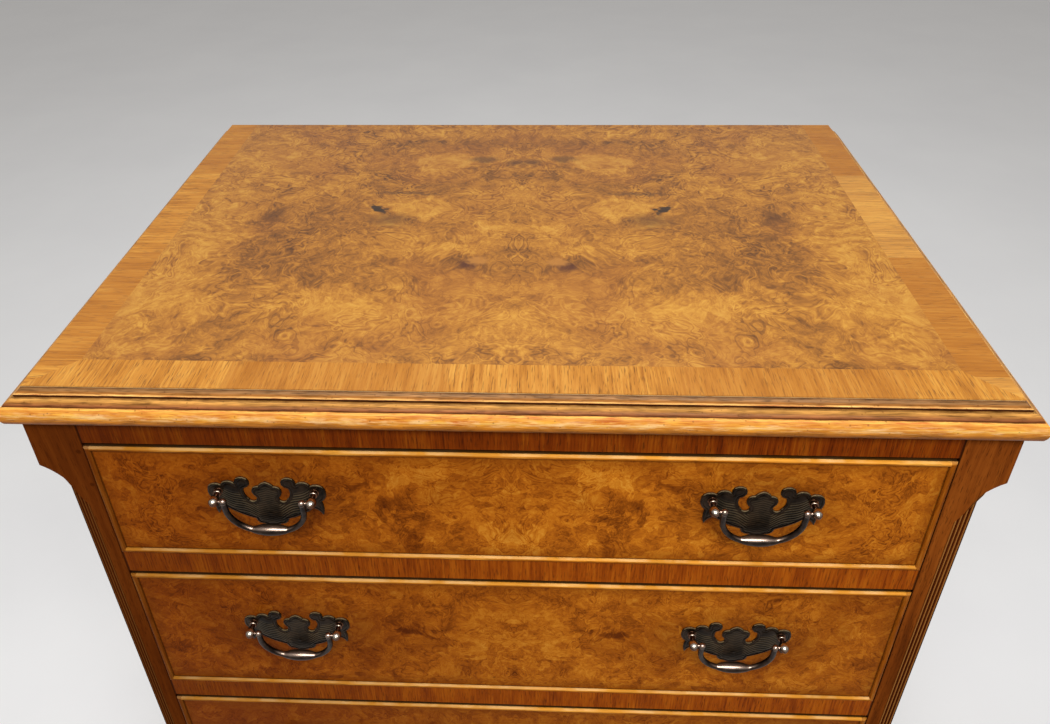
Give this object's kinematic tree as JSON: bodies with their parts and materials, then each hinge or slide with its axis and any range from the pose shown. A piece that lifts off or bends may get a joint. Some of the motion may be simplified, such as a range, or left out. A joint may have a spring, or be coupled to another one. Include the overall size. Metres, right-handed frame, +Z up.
{
  "type": "bachelors chest",
  "caption": "Small burr walnut chest of graduated drawers with a crossbanded moulded top, fluted canted corners, swan-neck handles and bracket feet.",
  "frame": {"origin": "on the floor, under the middle of the chest's overall box", "axes": "+Z up, -Y out of the drawer fronts, +X to the right as one faces the drawers"},
  "size_m": [0.6684, 0.4616, 0.7832],
  "materials": {
    "burr_walnut": "polished burr veneer",
    "crossband_walnut": "polished cross-grain veneer",
    "solid_walnut": "french polished",
    "rail_walnut": "polished cross-grain facing",
    "bead_walnut": "polished",
    "drawer_lining": "planed, waxed",
    "carcass_softwood": "planed, bare",
    "plywood": "stained, bare",
    "antique_brass": "antiqued and lacquered",
    "steel": "bright zinc"
  },
  "bodies": {
    "case": {"top_board": "carcass_softwood", "top_burr_veneer": "burr_walnut", "top_crossbanding": "crossband_walnut", "top_moulding": "solid_walnut", "side_panel_right": "solid_walnut", "side_panel_left": "solid_walnut", "corner_post_right": "solid_walnut", "corner_post_left": "solid_walnut", "top_rail": "rail_walnut", "drawer_rails": "rail_walnut", "back_panel": "plywood", "back_screws": "steel", "dust_board": "plywood", "drawer_runners": "carcass_softwood", "drawer_guides": "carcass_softwood", "drawer_stops": "carcass_softwood", "top_kickers": "carcass_softwood", "base_frame": "solid_walnut", "bracket_feet": "solid_walnut", "foot_blocks": "carcass_softwood"},
    "drawer_1": {"drawer_1_front": "carcass_softwood", "drawer_1_burr_veneer": "burr_walnut", "drawer_1_cock_bead": "bead_walnut", "drawer_1_sides": "drawer_lining", "drawer_1_back": "drawer_lining", "drawer_1_bottom": "plywood", "drawer_1_back_plates": "antique_brass", "drawer_1_handle_posts": "antique_brass"},
    "drawer_1_bail_right": {"drawer_1_bail_right": "antique_brass"},
    "drawer_1_bail_left": {"drawer_1_bail_left": "antique_brass"},
    "drawer_2": {"drawer_2_front": "carcass_softwood", "drawer_2_burr_veneer": "burr_walnut", "drawer_2_cock_bead": "bead_walnut", "drawer_2_sides": "drawer_lining", "drawer_2_back": "drawer_lining", "drawer_2_bottom": "plywood", "drawer_2_back_plates": "antique_brass", "drawer_2_handle_posts": "antique_brass"},
    "drawer_2_bail_right": {"drawer_2_bail_right": "antique_brass"},
    "drawer_2_bail_left": {"drawer_2_bail_left": "antique_brass"},
    "drawer_3": {"drawer_3_front": "carcass_softwood", "drawer_3_burr_veneer": "burr_walnut", "drawer_3_cock_bead": "bead_walnut", "drawer_3_sides": "drawer_lining", "drawer_3_back": "drawer_lining", "drawer_3_bottom": "plywood", "drawer_3_back_plates": "antique_brass", "drawer_3_handle_posts": "antique_brass"},
    "drawer_3_bail_right": {"drawer_3_bail_right": "antique_brass"},
    "drawer_3_bail_left": {"drawer_3_bail_left": "antique_brass"},
    "drawer_4": {"drawer_4_front": "carcass_softwood", "drawer_4_burr_veneer": "burr_walnut", "drawer_4_cock_bead": "bead_walnut", "drawer_4_sides": "drawer_lining", "drawer_4_back": "drawer_lining", "drawer_4_bottom": "plywood", "drawer_4_back_plates": "antique_brass", "drawer_4_handle_posts": "antique_brass"},
    "drawer_4_bail_right": {"drawer_4_bail_right": "antique_brass"},
    "drawer_4_bail_left": {"drawer_4_bail_left": "antique_brass"}
  },
  "joints": [
    {"name": "drawer_1_slide", "type": "slide", "parent": "case", "child": "drawer_1", "axis": [0, -1, 0], "range_m": [0, 0.3]},
    {"name": "drawer_1_bail_right_hinge", "type": "hinge", "parent": "drawer_1", "child": "drawer_1_bail_right", "pos_m": [0.17, -0.2265, 0.6964], "axis": [-1, 0, 0], "range_deg": [0, 160]},
    {"name": "drawer_1_bail_left_hinge", "type": "hinge", "parent": "drawer_1", "child": "drawer_1_bail_left", "pos_m": [-0.17, -0.2265, 0.6964], "axis": [-1, 0, 0], "range_deg": [0, 160]},
    {"name": "drawer_2_slide", "type": "slide", "parent": "case", "child": "drawer_2", "axis": [0, -1, 0], "range_m": [0, 0.3]},
    {"name": "drawer_2_bail_right_hinge", "type": "hinge", "parent": "drawer_2", "child": "drawer_2_bail_right", "pos_m": [0.17, -0.2265, 0.5519], "axis": [-1, 0, 0], "range_deg": [0, 160]},
    {"name": "drawer_2_bail_left_hinge", "type": "hinge", "parent": "drawer_2", "child": "drawer_2_bail_left", "pos_m": [-0.17, -0.2265, 0.5519], "axis": [-1, 0, 0], "range_deg": [0, 160]},
    {"name": "drawer_3_slide", "type": "slide", "parent": "case", "child": "drawer_3", "axis": [0, -1, 0], "range_m": [0, 0.3]},
    {"name": "drawer_3_bail_right_hinge", "type": "hinge", "parent": "drawer_3", "child": "drawer_3_bail_right", "pos_m": [0.17, -0.2265, 0.3864], "axis": [-1, 0, 0], "range_deg": [0, 160]},
    {"name": "drawer_3_bail_left_hinge", "type": "hinge", "parent": "drawer_3", "child": "drawer_3_bail_left", "pos_m": [-0.17, -0.2265, 0.3864], "axis": [-1, 0, 0], "range_deg": [0, 160]},
    {"name": "drawer_4_slide", "type": "slide", "parent": "case", "child": "drawer_4", "axis": [0, -1, 0], "range_m": [0, 0.3]},
    {"name": "drawer_4_bail_right_hinge", "type": "hinge", "parent": "drawer_4", "child": "drawer_4_bail_right", "pos_m": [0.17, -0.2265, 0.2079], "axis": [-1, 0, 0], "range_deg": [0, 160]},
    {"name": "drawer_4_bail_left_hinge", "type": "hinge", "parent": "drawer_4", "child": "drawer_4_bail_left", "pos_m": [-0.17, -0.2265, 0.2079], "axis": [-1, 0, 0], "range_deg": [0, 160]}
  ]
}
